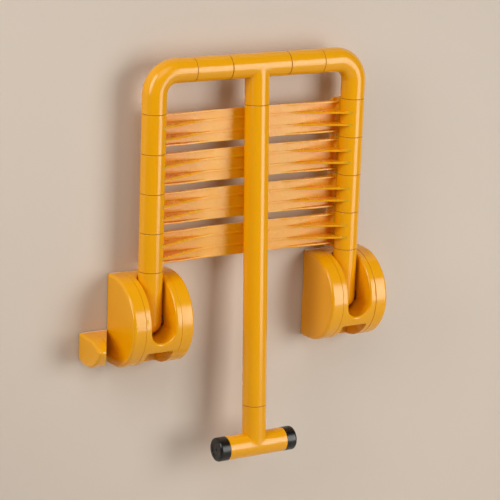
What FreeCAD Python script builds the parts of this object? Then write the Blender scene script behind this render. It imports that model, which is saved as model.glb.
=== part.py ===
"""Fold down wall seat: two wall brackets, a U frame carrying four slats, and a swinging front leg.

Millimetres. The wall is the plane Y = 0 and the object stands out of it towards -Y, with +Z up. The origin
lies on the wall, midway between the brackets, at the height of the hinge axis. The seat is modelled folded
up, so its frame stands parallel to the wall and the underside of the slats faces the room.
"""
import FreeCAD, Part

import math
import os
import re

import Sketcher

doc = FreeCAD.newDocument("FoldDownWallSeat")

# Every driving dimension in millimetres or degrees, each a cell of the sheet with its own alias.
DIMENSIONS = {
    "arm_spacing": 325,
    "wall_offset": 37,
    "tube_dia": 35,
    "core_dia": 25,
    "core_wall": 1.5,
    "core_fit": 0.15,
    "elbow_radius": 32,
    "elbow_rise": 57.7,
    "elbow_run": 26.5,
    "ring_thick": 0.8,
    "ring_inset": 0.5,
    "run_gap": 0.3,
    "knuckle_top": 74.1,
    "knuckle_skin": 1.6,
    "slat_pitch": 56.3,
    "slat_width": 46,
    "slat_thick": 2.8,
    "slat_edge_round": 1,
    "gap_end": 24,
    "web_fillet": 6,
    "rib_spread": 9,
    "rib_thick": 3,
    "rib_proud": 15.5,
    "rib_low": 0.8,
    "rib_slope": 21,
    "rib_blend": 120,
    "rim_thick": 2.5,
    "rim_depth": 5.5,
    "rim_level": 52,
    "rim_start": 105,
    "tee_half": 47.7,
    "tee_drop": 55.8,
    "tee_bush_wall": 1.4,
    "tee_bush_length": 20,
    "branch_step": 0.2,
    "run_fit": 0.1,
    "leg_length": 557.3,
    "foot_rise": 60.4,
    "foot_cap_dia": 35.4,
    "foot_cap_length": 17,
    "foot_cap_round": 4,
    "foot_spigot": 20,
    "foot_bore_step": 0.85,
    "foot_skin": 1.5,
    "foot_dish_dia": 20,
    "foot_dish_depth": 0.8,
    "foot_dot_dia": 3,
    "fixing_shank": 5,
    "fixing_head": 8.6,
    "fixing_seat": 0.6,
    "fixing_head_thick": 2.2,
    "fixing_head_round": 0.9,
    "fixing_socket": 3,
    "fixing_socket_depth": 1.2,
    "fixing_drop": 15,
    "bracket_radius": 66,
    "corner_margin": 0.25,
    "slot_gap": 1.25,
    "slot_drop": 3.3,
    "slot_lip": 3,
    "cheek_skin": 2.85,
    "cap_width": 20,
    "notch_half": 21,
    "notch_roof": 36,
    "notch_round": 3,
    "flange_thick": 8,
    "flange_gap": 0.5,
    "flange_rim": 1.6,
    "plate_thick": 3,
    "plate_round": 6,
    "yoke_gap": 0.3,
    "ear_thick": 3,
    "ear_skin": 2.8,
    "ear_radius": 14,
    "wall_hole_dia": 8.5,
    "wall_hole_rise": 40,
    "pin_dia": 10,
    "bush_dia": 14,
    "disc_dia": 18,
    "washer_dia": 20,
    "washer_thick": 1.5,
    "head_across": 17,
    "head_thick": 6.4,
    "nut_thick": 7,
    "cap_seam": 0.4,
    "open_seam": 0.6,
    "cap_wall": 3,
    "cap_round": 4.5,
    "peg_dia": 6,
    "peg_fit": 0.1,
    "peg_depth": 5,
    "peg_inset": 14.4,
    "peg_angle": 35.5,
    "block_gap": 0.8,
    "block_base": 24.2,
    "block_cap": 19,
    "block_top": 17,
    "block_knee": 39,
    "block_nose": 25.5,
    "block_centre_y": 20,
    "block_centre_z": 8,
    "block_radius": 52,
    "block_round": 4,
    "block_skirt": 1.5,
    "block_slant": 27,
    "block_peg_reach": 21,
    "block_peg_drop": 38,
    "block_hole_dia": 6.4,
    "block_hole_rise": 17,
}
SLAT_COUNT = 4

sheet = doc.addObject("Spreadsheet::Sheet", "Sizes")
for row, (alias, size) in enumerate(DIMENSIONS.items(), start=1):
    sheet.set(f"A{row}", alias)
    sheet.set(f"B{row}", str(size))
    sheet.setAlias(f"B{row}", alias)
doc.recompute()

# Sizes that several pieces share, as formulas over the driving dimensions.
ARM = "(arm_spacing/2)"
TUBE = "(tube_dia/2)"
CORE = "(core_dia/2)"
BORE = "(core_dia/2 + core_fit)"
RING = "(tube_dia/2 - ring_inset)"
KNUCKLE_FLOOR = f"sqrt(({TUBE} - knuckle_skin)^2 - {BORE}^2)"
CORE_END = f"({KNUCKLE_FLOOR} - core_fit)"
SLOT = "(tube_dia/2 + slot_gap)"
REAR_WALL = "(wall_offset - tube_dia/2 - slot_gap)"
STRAIGHT = f"({REAR_WALL} - corner_margin)"
EAR_NEAR = f"({SLOT} + ear_skin)"
CHEEK = f"({EAR_NEAR} + ear_thick + 2*yoke_gap + cheek_skin)"
BRACKET = f"({CHEEK} + cap_width)"
CAP_START = f"({CHEEK} + cap_seam)"
CAP_FLOOR = f"({BRACKET} - cap_wall)"
HOLE_ACROSS = f"(({CHEEK} + {CAP_FLOOR})/2)"
PEG_OUT = f"({STRAIGHT} + (bracket_radius - peg_inset)*cos(peg_angle))"
PEG_UP = "((bracket_radius - peg_inset)*sin(peg_angle))"
PIN_BORE = "(pin_dia/2 + run_fit)"
SLAT_HALF = "((slat_pitch - ring_thick)/2)"
SLAT_UNDER = f"({TUBE} - slat_thick)"
SLATS_TOP = f"(knuckle_top + {SLAT_COUNT}*slat_pitch)"
REACH = f"({SLATS_TOP} + elbow_rise)"
BAR_SEAM = f"({ARM} - elbow_radius - elbow_run)"
TOP_SLAT_RIB = f"(knuckle_top + {SLAT_COUNT - 0.5}*slat_pitch + rib_spread + rib_thick/2)"
# The leg leans on the highest rib of the top slat, and its axis passes the rib's edge at this distance.
REST_OUT = f"({SLAT_UNDER} - rib_low)"
REST_DOWN = f"({REACH} - {TOP_SLAT_RIB})"
LEG_LEAN = (
    f"(asin(({TUBE} + run_gap)/sqrt({REST_OUT}^2 + {REST_DOWN}^2))"
    f" - atan({REST_OUT}/{REST_DOWN}))"
)


def formula(text):
    """The text with each alias qualified by the name of the sheet."""
    return re.sub(r"[a-z][a-z_]*", lambda word: qualified(word.group()), text)


def qualified(word):
    return f"Sizes.{word}" if word in DIMENSIONS else word


def number(text):
    """The present value of a formula, as a plain number."""
    value = sheet.evalExpression(formula(text))
    return float(getattr(value, "Value", value))


def bind(thing, **formulas):
    for name, text in formulas.items():
        thing.setExpression(name, formula(text))


def new_body(label, across="0", outward="0", up="0"):
    """A body of its own, with its place bound to the sheet."""
    body = doc.addObject("PartDesign::Body", label)
    body.Label = label
    body.AllowCompound = True
    body.setExpression(".Placement.Base.x", formula(across))
    body.setExpression(".Placement.Base.y", formula(outward))
    body.setExpression(".Placement.Base.z", formula(up))
    return body


def new_sketch(body, role, offset="0"):
    """A sketch on one of the body's origin planes, moved by the offset along the plane's normal."""
    sketch = body.newObject("Sketcher::SketchObject", f"{body.Label}_sketch")
    plane = [entry for entry in body.Origin.OriginFeatures if entry.Role == role][0]
    sketch.AttachmentSupport = [(plane, "")]
    sketch.MapMode = "FlatFace"
    sketch.setExpression(".AttachmentOffset.Base.z", formula(offset))
    return sketch


def fix_point(sketch, piece, end, across, up):
    """Hold one point of the sketch at its two coordinates."""
    for kind, text in (("DistanceX", across), ("DistanceY", up)):
        held = sketch.addConstraint(Sketcher.Constraint(kind, -1, 1, piece, end, number(text)))
        sketch.setExpression(f"Constraints[{held}]", formula(text))


def arc_between(start, end, radius, leftward):
    """An arc of under half a turn, and which of its ends is the start of the walk."""
    chord = end - start
    rise = math.sqrt(max(radius**2 - chord.Length**2 / 4, 0))
    normal = FreeCAD.Vector(-chord.y, chord.x, 0).normalize()
    centre = (start + end) * 0.5 + normal * (rise if leftward else -rise)
    first = math.atan2(start.y - centre.y, start.x - centre.x)
    last = math.atan2(end.y - centre.y, end.x - centre.x)
    circle = Part.Circle(centre, FreeCAD.Vector(0, 0, 1), radius)
    if leftward:
        return Part.ArcOfCircle(circle, first, last), 1, 2
    return Part.ArcOfCircle(circle, last, first), 2, 1


def outline(sketch, corners, closed=True):
    """A walk through the corners. A corner (across, up, radius) is reached by an arc of that radius that
    turns clockwise, or counterclockwise where the corner has a fourth entry."""
    points = [FreeCAD.Vector(number(corner[0]), number(corner[1]), 0) for corner in corners]
    count = len(corners) if closed else len(corners) - 1
    walk = []
    for index in range(count):
        start, target = points[index], (index + 1) % len(corners)
        radius = corners[target][2] if len(corners[target]) > 2 else None
        if radius:
            shape, begin, finish = arc_between(start, points[target], number(radius), len(corners[target]) > 3)
        else:
            shape, begin, finish = Part.LineSegment(start, points[target]), 1, 2
        piece = sketch.addGeometry(shape, False)
        walk.append((piece, begin, finish, radius))
    for index, (piece, begin, finish, radius) in enumerate(walk):
        fix_point(sketch, piece, begin, corners[index][0], corners[index][1])
        if radius:
            held = sketch.addConstraint(Sketcher.Constraint("Radius", piece, number(radius)))
            sketch.setExpression(f"Constraints[{held}]", formula(radius))
        if closed or index < count - 1:
            after = walk[(index + 1) % count]
            sketch.addConstraint(Sketcher.Constraint("Coincident", piece, finish, after[0], after[1]))
        else:
            fix_point(sketch, piece, finish, corners[-1][0], corners[-1][1])
    return sketch


def circle(sketch, radius, across="0", up="0"):
    centre = FreeCAD.Vector(number(across), number(up), 0)
    piece = sketch.addGeometry(Part.Circle(centre, FreeCAD.Vector(0, 0, 1), number(radius)), False)
    fix_point(sketch, piece, 3, across, up)
    held = sketch.addConstraint(Sketcher.Constraint("Radius", piece, number(radius)))
    sketch.setExpression(f"Constraints[{held}]", formula(radius))
    return sketch


def rectangle(sketch, half_across, low, high, middle="0"):
    left, right = f"{middle} - ({half_across})", f"{middle} + ({half_across})"
    return outline(sketch, [(left, low), (right, low), (right, high), (left, high)])


def rounded_rectangle(sketch, half_across, half_up, radius):
    """A rectangle about the origin with four round corners, walked clockwise."""
    inner_across, inner_up = f"({half_across} - {radius})", f"({half_up} - {radius})"
    return outline(
        sketch,
        [
            (f"-{inner_across}", half_up, radius),
            (inner_across, half_up),
            (half_across, inner_up, radius),
            (half_across, f"-{inner_up}"),
            (inner_across, f"-{half_up}", radius),
            (f"-{inner_across}", f"-{half_up}"),
            (f"-{half_across}", f"-{inner_up}", radius),
            (f"-{half_across}", inner_up),
        ],
    )


def hexagon(sketch, across_flats, middle="0"):
    corner = f"({across_flats}/sqrt(3))"
    half = f"({across_flats}/2)"
    return outline(
        sketch,
        [
            (f"-{half}", f"{middle} - {corner}/2"),
            ("0", f"{middle} - {corner}"),
            (half, f"{middle} - {corner}/2"),
            (half, f"{middle} + {corner}/2"),
            ("0", f"{middle} + {corner}"),
            (f"-{half}", f"{middle} + {corner}/2"),
        ],
    )


def volume(body):
    return body.Shape.Volume if not body.Shape.isNull() else 0.0


def pad(body, sketch, length, both=False, back=False):
    """Raise the sketch along its normal, half each way, or backwards."""
    feature = body.newObject("PartDesign::Pad", f"{body.Label}_pad")
    feature.Profile = sketch
    bind(feature, Length=length)
    feature.Midplane = both
    feature.Reversed = back
    doc.recompute()
    return feature


def pocket(body, sketch, depth=None, both=False, front=False):
    """Cut the sketch away behind its plane, on both sides, or in front of it. No depth cuts right through."""
    before = volume(body)
    feature = body.newObject("PartDesign::Pocket", f"{body.Label}_pocket")
    feature.Profile = sketch
    if depth is None:
        feature.Type = "ThroughAll"
    else:
        bind(feature, Length=depth)
    feature.Midplane = both
    feature.Reversed = front
    doc.recompute()
    if volume(body) > before - 0.01:
        raise RuntimeError(f"a cut in {body.Label} takes nothing away")
    return feature


def turned(body, sketch, axis="V_Axis"):
    """Turn the sketch all the way round one of its own axes."""
    feature = body.newObject("PartDesign::Revolution", f"{body.Label}_turned")
    feature.Profile = sketch
    feature.ReferenceAxis = (sketch, [axis])
    feature.Angle = 360
    doc.recompute()
    return feature


def pipe(body, profile, path):
    feature = body.newObject("PartDesign::AdditivePipe", f"{body.Label}_pipe")
    feature.Profile = profile
    feature.Spine = (path, [])
    feature.Mode = "Frenet"
    doc.recompute()
    return feature


def soften(body, radius, wanted):
    """Round every edge of the body whose middle point passes the test."""
    base = body.Tip
    names = [
        f"Edge{index}"
        for index, edge in enumerate(base.Shape.Edges, start=1)
        if wanted(edge, edge.valueAt((edge.FirstParameter + edge.LastParameter) / 2))
    ]
    feature = body.newObject("PartDesign::Fillet", f"{body.Label}_round")
    feature.Base = (base, names)
    bind(feature, Radius=radius)
    doc.recompute()
    return feature


def near(value, target, slack=0.05):
    return abs(value - target) < slack


def along(edge, axis):
    """Whether a straight edge runs along the axis numbered 0, 1 or 2."""
    if not isinstance(edge.Curve, Part.Line):
        return False
    return abs(edge.Curve.Direction[axis]) > 0.999


# The profile of a bracket seen from its side: straight at the wall, then half a turn round the nose.
def bracket_profile(sketch, inset="0", back="0"):
    straight = f"-{STRAIGHT}"
    radius = f"(bracket_radius - {inset})"
    return outline(
        sketch,
        [
            (back, f"-{radius}"),
            (straight, f"-{radius}"),
            (f"{straight} - {radius}", "0", radius),
            (straight, radius, radius),
            (back, radius),
        ],
    )


# The steel yoke lies in the back of the housing. Its plate takes the wall bolts and its two ears the pin.
def wall_yoke(side, place):
    body = new_body(f"{side}_wall_yoke", place)
    half_across = f"({CAP_FLOOR} - flange_gap - flange_rim)"
    half_up = "(bracket_radius - cap_wall - flange_gap - flange_rim)"
    pad(body, rounded_rectangle(new_sketch(body, "XZ_Plane"), half_across, half_up, "plate_round"), "plate_thick")
    for ear_start in (f"({EAR_NEAR} + yoke_gap)", f"-({EAR_NEAR} + yoke_gap + ear_thick)"):
        ear = new_sketch(body, "YZ_Plane", ear_start)
        outline(
            ear,
            [
                ("-plate_thick/2", "-ear_radius"),
                ("-wall_offset", "-ear_radius"),
                ("-wall_offset - ear_radius", "0", "ear_radius"),
                ("-wall_offset", "ear_radius", "ear_radius"),
                ("-plate_thick/2", "ear_radius"),
            ],
        )
        pad(body, ear, "ear_thick")
    pocket(body, circle(new_sketch(body, "YZ_Plane"), PIN_BORE, "-wall_offset"), both=True)
    wall_holes(body)


def wall_holes(body):
    """Four holes for the wall bolts, two each side, level with the hollows of the side caps."""
    holes = new_sketch(body, "XZ_Plane")
    for across in (HOLE_ACROSS, f"-{HOLE_ACROSS}"):
        for up in ("wall_hole_rise", "-wall_hole_rise"):
            circle(holes, "wall_hole_dia/2", across, up)
    pocket(body, holes, front=True)


# The nylon housing: two cheeks with a round-bottomed channel between them for the arm, open to the top and
# the front so that the arm can fold down, and a flange under each side cap for the wall bolts.
def bracket_housing(side, place):
    body = new_body(f"{side}_bracket_housing", place)
    pad(body, bracket_profile(new_sketch(body, "YZ_Plane")), f"2*{CHEEK}", both=True)
    arm_channel(body)
    soften(body, "slot_lip", on_channel_rim)
    notch = new_sketch(body, "XZ_Plane", REAR_WALL)
    outline(
        notch,
        [
            ("-notch_half", "-bracket_radius - 1"),
            ("notch_half", "-bracket_radius - 1"),
            ("notch_half", "-notch_roof - notch_round"),
            ("notch_half - notch_round", "-notch_roof", "notch_round", "left"),
            ("-notch_half + notch_round", "-notch_roof"),
            ("-notch_half", "-notch_roof - notch_round", "notch_round", "left"),
        ],
    )
    pocket(body, notch, front=True)
    flange = new_sketch(body, "XZ_Plane")
    edge_up = "(bracket_radius - cap_wall - flange_gap)"
    rectangle(flange, f"({CAP_FLOOR} - flange_gap)", f"-{edge_up}", edge_up)
    pad(body, flange, "flange_thick")
    yoke_seat(body)
    wall_holes(body)
    pocket(body, circle(new_sketch(body, "YZ_Plane"), PIN_BORE, "-wall_offset"), both=True)
    spot_face = circle(new_sketch(body, "YZ_Plane"), "disc_dia/2 + run_gap", "-wall_offset")
    pocket(body, spot_face, f"2*{SLOT}", both=True)
    for start, rightward in ((CHEEK, False), (f"-{CHEEK}", True)):
        sockets = new_sketch(body, "YZ_Plane", start)
        for up in (PEG_UP, f"-{PEG_UP}"):
            circle(sockets, "peg_dia/2 + peg_fit", f"-{PEG_OUT}", up)
        pocket(body, sockets, "peg_depth", front=rightward)


def arm_channel(body):
    """The room that the arm's round end and the arm sweep through between upright and level."""
    front = new_sketch(body, "XZ_Plane", "wall_offset")
    outline(
        front,
        [
            (f"-{SLOT}", "-slot_drop"),
            ("0", f"-slot_drop - {SLOT}", SLOT, "left"),
            (SLOT, "-slot_drop", SLOT, "left"),
            (SLOT, "bracket_radius + 1"),
            (f"-{SLOT}", "bracket_radius + 1"),
        ],
    )
    pocket(body, front, front=True)
    rear = new_sketch(body, "XY_Plane", "-slot_drop")
    outline(
        rear,
        [
            (SLOT, "-wall_offset"),
            ("0", f"-wall_offset + {SLOT}", SLOT, "left"),
            (f"-{SLOT}", "-wall_offset", SLOT, "left"),
        ],
    )
    pocket(body, rear, front=True)
    before = volume(body)
    ball = body.newObject("PartDesign::SubtractiveSphere", f"{body.Label}_ball")
    bind(ball, Radius=SLOT)
    ball.setExpression(".AttachmentOffset.Base.y", formula("-wall_offset"))
    ball.setExpression(".AttachmentOffset.Base.z", formula("-slot_drop"))
    plane = [entry for entry in body.Origin.OriginFeatures if entry.Role == "XY_Plane"][0]
    ball.AttachmentSupport = [(plane, "")]
    ball.MapMode = "FlatFace"
    doc.recompute()
    if volume(body) > before - 0.01:
        raise RuntimeError("the round end of the channel takes nothing away")


def on_channel_rim(edge, middle):
    """The rim where the channel opens through the bracket's round front and top."""
    nose_radius = math.hypot(middle.y + number(STRAIGHT), middle.z)
    inside = abs(middle.x) < number(SLOT) + 0.01
    return inside and near(nose_radius, number("bracket_radius"), 0.02)


def yoke_seat(body):
    """The recess for the yoke's plate in the back of the housing, and a blind slot in each cheek for an ear."""
    recess = new_sketch(body, "XZ_Plane")
    half_across = f"({CAP_FLOOR} - flange_gap - flange_rim + yoke_gap)"
    half_up = "(bracket_radius - cap_wall - flange_gap - flange_rim + yoke_gap)"
    rounded_rectangle(recess, half_across, half_up, "plate_round")
    pocket(body, recess, "plate_thick", front=True)
    slots = new_sketch(body, "XZ_Plane")
    half_slot = "(ear_thick/2 + yoke_gap)"
    half_ear = "(ear_radius + yoke_gap)"
    for middle in (f"({EAR_NEAR} + {half_slot})", f"-({EAR_NEAR} + {half_slot})"):
        rectangle(slots, half_slot, f"-{half_ear}", half_ear, middle)
    pocket(body, slots, "wall_offset + ear_radius + yoke_gap", front=True)


# A side cap is a hollow half shell with the bracket's own outline. It clips over the flange and the pin's
# end with two pegs. It is modelled on the right of its bracket, and turned half round for the left.
def side_cap(label, place, turn_over, gap):
    body = new_body(label, place)
    if turn_over:
        body.Placement = FreeCAD.Placement(body.Placement.Base, FreeCAD.Rotation(FreeCAD.Vector(0, 1, 0), 180))
    start = f"({CAP_START} + {gap})"
    pad(body, bracket_profile(new_sketch(body, "YZ_Plane", start)), f"{BRACKET} - {CAP_START}")
    outer = number(f"{start} + {BRACKET} - {CAP_START}")
    soften(body, "cap_round", lambda edge, middle: near(middle.x, outer) and middle.y < -0.01)
    hollow = bracket_profile(new_sketch(body, "YZ_Plane", start), "cap_wall", "1")
    pocket(body, hollow, f"{CAP_FLOOR} - {CAP_START}", front=True)
    pegs = new_sketch(body, "YZ_Plane", f"{CAP_FLOOR} + {gap}")
    for up in (PEG_UP, f"-{PEG_UP}"):
        circle(pegs, "peg_dia/2", f"-{PEG_OUT}", up)
    pad(body, pegs, f"{CAP_FLOOR} + {gap} - {CHEEK} + peg_depth - run_gap", back=True)


# The hinge pin is a hexagon-head bolt through both cheeks, both ears and the bush in the arm.
def hinge_bolt(side, place, outward):
    body = new_body(f"{side}_hinge_bolt", place, "-wall_offset")
    seat = f"({CHEEK} + washer_thick)"
    tail = f"({seat} + nut_thick + 2)"
    low, high = (f"-{tail}", seat) if outward > 0 else (f"-{seat}", tail)
    pad(body, circle(new_sketch(body, "YZ_Plane", low), "pin_dia/2"), f"{high} - ({low})")
    head = new_sketch(body, "YZ_Plane", seat if outward > 0 else f"-{seat}")
    pad(body, hexagon(head, "head_across"), "head_thick", back=outward < 0)


def hinge_nut(side, place, outward):
    body = new_body(f"{side}_hinge_nut", place, "-wall_offset")
    seat = f"({CHEEK} + washer_thick)"
    nut = new_sketch(body, "YZ_Plane", f"-{seat}" if outward > 0 else seat)
    pad(body, circle(hexagon(nut, "head_across"), "pin_dia/2"), "nut_thick", back=outward > 0)


def pair_of_rings(label, place, outer, inner, start, thickness):
    """Two like rings round the hinge axis, one each side of the arm."""
    body = new_body(label, place, "-wall_offset")
    for offset, back in ((start, False), (f"-{start}", True)):
        ring = circle(circle(new_sketch(body, "YZ_Plane", offset), outer), inner)
        pad(body, ring, thickness, back=back)


for side, outward in (("left", -1), ("right", 1)):
    place = ARM if outward > 0 else f"-{ARM}"
    wall_yoke(side, place)
    bracket_housing(side, place)
    side_cap(f"{side}_outer_cap", place, outward < 0, "open_seam" if outward > 0 else "0")
    side_cap(f"{side}_inner_cap", place, outward > 0, "0")
    hinge_bolt(side, place, outward)
    hinge_nut(side, place, outward)
    pair_of_rings(f"{side}_hinge_washers", place, "washer_dia/2", PIN_BORE, CHEEK, "washer_thick")
    pair_of_rings(
        f"{side}_slot_discs", place, "disc_dia/2", PIN_BORE, f"({TUBE} + run_gap)", "slot_gap - run_gap"
    )


# The side block stands on the wall beside the left bracket: a moulded base with a flange, and a clipped cap.
BLOCK_START = f"({ARM} + {BRACKET} + block_gap)"
BLOCK_CAP_END = f"({BLOCK_START} + block_base + block_cap)"


def block_profile(sketch, inset="0", back="0"):
    """Level on top, then falling to a round nose, with one wide arc back to the wall underneath."""
    radius = f"(block_radius - {inset})"
    top = f"-(block_top + {inset})"
    nose_z = f"(block_nose + {inset})"
    nose_y = f"(block_centre_y + sqrt({radius}^2 - ({nose_z} - block_centre_z)^2))"
    foot_z = f"(block_centre_z + sqrt({radius}^2 - (block_centre_y + {back})^2))"
    return outline(
        sketch,
        [
            (back, top),
            (back, f"-{foot_z}"),
            ("-block_centre_y", f"-block_centre_z - {radius}", radius),
            (f"-{nose_y}", f"-{nose_z}", radius),
            ("-block_knee", top),
        ],
    )


def side_block():
    base = new_body("side_block_base")
    pad(base, block_profile(new_sketch(base, "YZ_Plane", f"-{BLOCK_START}")), "block_base", back=True)
    nose_z = number("-block_nose")
    soften(base, "block_round", lambda edge, middle: along(edge, 0) and near(middle.z, nose_z, 1))
    top = "-(block_top + cap_wall + flange_gap)"
    low = "-(block_centre_z + sqrt((block_radius - cap_wall)^2 - block_centre_y^2) - flange_gap)"
    middle = f"-({BLOCK_START} + block_base + (block_cap - cap_wall - flange_gap)/2)"
    rectangle_sketch = new_sketch(base, "XZ_Plane")
    rectangle(rectangle_sketch, "((block_cap - cap_wall - flange_gap)/2)", low, top, middle)
    pad(base, rectangle_sketch, "flange_thick")
    holes = new_sketch(base, "XZ_Plane")
    for up in (f"{top} - 8", f"{top} - 8 - block_hole_rise"):
        circle(holes, "block_hole_dia/2", middle, up)
    pocket(base, holes, front=True)
    socket_start = f"-({BLOCK_START} + block_base)"
    socket = new_sketch(base, "YZ_Plane", socket_start)
    circle(socket, "peg_dia/2 + peg_fit", "-block_peg_reach", "-block_peg_drop")
    pocket(base, socket, "peg_depth", front=True)
    block_mitre(base)
    cap = new_body("side_block_cap")
    start = f"({BLOCK_START} + block_base + cap_seam)"
    pad(cap, block_profile(new_sketch(cap, "YZ_Plane", f"-{BLOCK_CAP_END}")), "block_cap - cap_seam")
    outer = -number(BLOCK_CAP_END)
    soften(cap, "block_round", lambda edge, middle: along(edge, 0) and near(middle.z, nose_z, 1))
    soften(cap, "block_round", lambda edge, middle: near(middle.x, outer) and middle.y < -0.01)
    inner = "(block_radius - cap_wall)"
    depth_z = f"-(block_centre_z + sqrt({inner}^2 - (block_knee - block_centre_y)^2))"
    back_z = f"-(block_centre_z + sqrt({inner}^2 - (block_centre_y + 1)^2))"
    hollow = outline(
        new_sketch(cap, "YZ_Plane", f"-{start}"),
        [
            ("1", "-(block_top + cap_wall)"),
            ("1", back_z),
            ("-block_centre_y", f"-block_centre_z - {inner}", inner),
            ("-block_knee", depth_z, inner),
            ("-block_knee", "-(block_top + cap_wall)"),
        ],
    )
    pocket(cap, hollow, "block_cap - cap_seam - cap_wall")
    peg = new_sketch(cap, "YZ_Plane", f"-({BLOCK_CAP_END} - cap_wall)")
    circle(peg, "peg_dia/2", "-block_peg_reach", "-block_peg_drop")
    pad(cap, peg, "block_cap - cap_wall + peg_depth - run_gap")
    block_mitre(cap)


def block_mitre(body):
    """The end beside the bracket slants away from it towards the room, so the bracket's side cap stays free."""
    out = "(block_centre_y + block_radius + 2)"
    away = f"(({out} - block_skirt)*tan(block_slant))"
    mitre = new_sketch(body, "XY_Plane")
    outline(
        mitre,
        [
            (f"-{BLOCK_START}", "-block_skirt"),
            (f"-({BLOCK_START} + {away})", f"-{out}"),
            (f"-{BLOCK_START} + 1", f"-{out}"),
            (f"-{BLOCK_START} + 1", "-block_skirt"),
        ],
    )
    pocket(body, mitre, both=True)


side_block()


# The seat's core is one stainless tube bent into a U. Its two ends are drilled across for the hinge bushes.
def seat_core_tube():
    body = new_body("seat_core_tube", "0", "-wall_offset")
    path = new_sketch(body, "XZ_Plane")
    outline(
        path,
        [
            (f"-{ARM}", f"-{CORE_END}"),
            (f"-{ARM}", f"{REACH} - elbow_radius"),
            (f"-{ARM} + elbow_radius", REACH, "elbow_radius"),
            (f"{ARM} - elbow_radius", REACH),
            (ARM, f"{REACH} - elbow_radius", "elbow_radius"),
            (ARM, f"-{CORE_END}"),
        ],
        closed=False,
    )
    section = new_sketch(body, "XY_Plane", f"-{CORE_END}")
    circle(circle(section, CORE, f"-{ARM}"), f"({CORE} - core_wall)", f"-{ARM}")
    pipe(body, section, path)
    pocket(body, circle(new_sketch(body, "YZ_Plane"), "bush_dia/2"), both=True)


# The lowest moulding of each arm ends in a half ball about the hinge axis and is bored across for the bush.
def arm_knuckle(side, place):
    body = new_body(f"{side}_arm_knuckle", place, "-wall_offset")
    top = "(knuckle_top - ring_thick/2)"
    floor = f"-{KNUCKLE_FLOOR}"
    profile = new_sketch(body, "XZ_Plane")
    outline(
        profile,
        [
            ("0", f"-{TUBE}"),
            (TUBE, "0", TUBE, "left"),
            (TUBE, top),
            (BORE, top),
            (BORE, floor),
            ("0", floor),
        ],
    )
    turned(body, profile)
    pocket(body, circle(new_sketch(body, "YZ_Plane"), "bush_dia/2"), both=True)
    bush = new_body(f"{side}_hinge_bush", place, "-wall_offset")
    ring = circle(circle(new_sketch(bush, "YZ_Plane"), "bush_dia/2"), PIN_BORE)
    pad(bush, ring, "tube_dia", both=True)


# A slat is one moulding: a thin seat plate level with the back of the arms, a sleeve at each end round the
# arm's core, and on its underside two tall ribs and two low rims that fall away towards the middle.
def seat_slat(index):
    up = f"knuckle_top + {index - 0.5}*slat_pitch"
    body = new_body(f"seat_slat_{index}", "0", "-wall_offset", up)
    under_x = f"({ARM} - sqrt({TUBE}^2 - {SLAT_UNDER}^2))"
    profile = new_sketch(body, "XY_Plane")
    outline(
        profile,
        [
            (f"-{ARM}", TUBE, TUBE),
            (ARM, TUBE),
            (f"{ARM} + {TUBE}", "0", TUBE),
            (ARM, f"-{TUBE}", TUBE),
            (f"{ARM} - {TUBE}", "0", TUBE),
            (under_x, SLAT_UNDER, TUBE),
            (f"-{under_x}", SLAT_UNDER),
            (f"-{ARM} + {TUBE}", "0", TUBE),
            (f"-{ARM}", f"-{TUBE}", TUBE),
            (f"-{ARM} - {TUBE}", "0", TUBE),
        ],
    )
    pad(body, profile, f"2*{SLAT_HALF}", both=True)
    web_x, web_y = number(under_x), number(SLAT_UNDER)
    soften(
        body,
        "web_fillet",
        lambda edge, middle: along(edge, 2) and near(abs(middle.x), web_x) and near(middle.y, web_y),
    )
    slat_ribs(body)
    slat_gaps(body)
    bores = new_sketch(body, "XY_Plane")
    circle(circle(bores, BORE, ARM), BORE, f"-{ARM}")
    pocket(body, bores, both=True)
    back, half_width = number(TUBE), number("slat_width/2")
    soften(
        body,
        "slat_edge_round",
        lambda edge, middle: near(middle.y, back) and near(abs(middle.z), half_width) and along(edge, 0),
    )


def slat_ribs(body):
    """Tall ribs slope down from the front of the sleeves and run out low. Low rims stiffen the long edges."""
    proud_x = f"({ARM} - sqrt({TUBE}^2 - rib_proud^2))"
    low_y = f"({SLAT_UNDER} - rib_low)"
    turn_x = f"({proud_x} - ({low_y} + rib_proud)/tan(rib_slope))"
    tangent = "(rib_blend*tan(rib_slope/2))"
    start_x = f"({turn_x} - {tangent})"
    end_x = f"({turn_x} + {tangent}*cos(rib_slope))"
    end_y = f"({low_y} - {tangent}*sin(rib_slope))"
    root_y = f"({SLAT_UNDER} + slat_thick/2)"
    rib_corners = [
        (f"-{proud_x}", root_y),
        (f"-{proud_x}", "-rib_proud"),
        (f"-{end_x}", end_y),
        (f"-{start_x}", low_y, "rib_blend"),
        (start_x, low_y),
        (end_x, end_y, "rib_blend"),
        (proud_x, "-rib_proud"),
        (proud_x, root_y),
    ]
    rim_x = f"({ARM} - sqrt({TUBE}^2 - ({SLAT_UNDER} - rim_depth)^2) + 1)"
    rim_y = f"({SLAT_UNDER} - rim_depth)"
    rim_corners = [
        (f"-{rim_x}", root_y),
        (f"-{rim_x}", rim_y),
        (f"-({ARM} - rim_level)", rim_y),
        (f"-({ARM} - rim_start)", SLAT_UNDER),
        (f"{ARM} - rim_start", SLAT_UNDER),
        (f"{ARM} - rim_level", rim_y),
        (rim_x, rim_y),
        (rim_x, root_y),
    ]
    rim_up = "(slat_width/2 - rim_thick/2)"
    for corners, rise, thickness in (
        (rib_corners, "rib_spread", "rib_thick"),
        (rim_corners, rim_up, "rim_thick"),
    ):
        for up in (rise, f"-{rise}"):
            pad(body, outline(new_sketch(body, "XY_Plane", up), corners), thickness, both=True)


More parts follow.
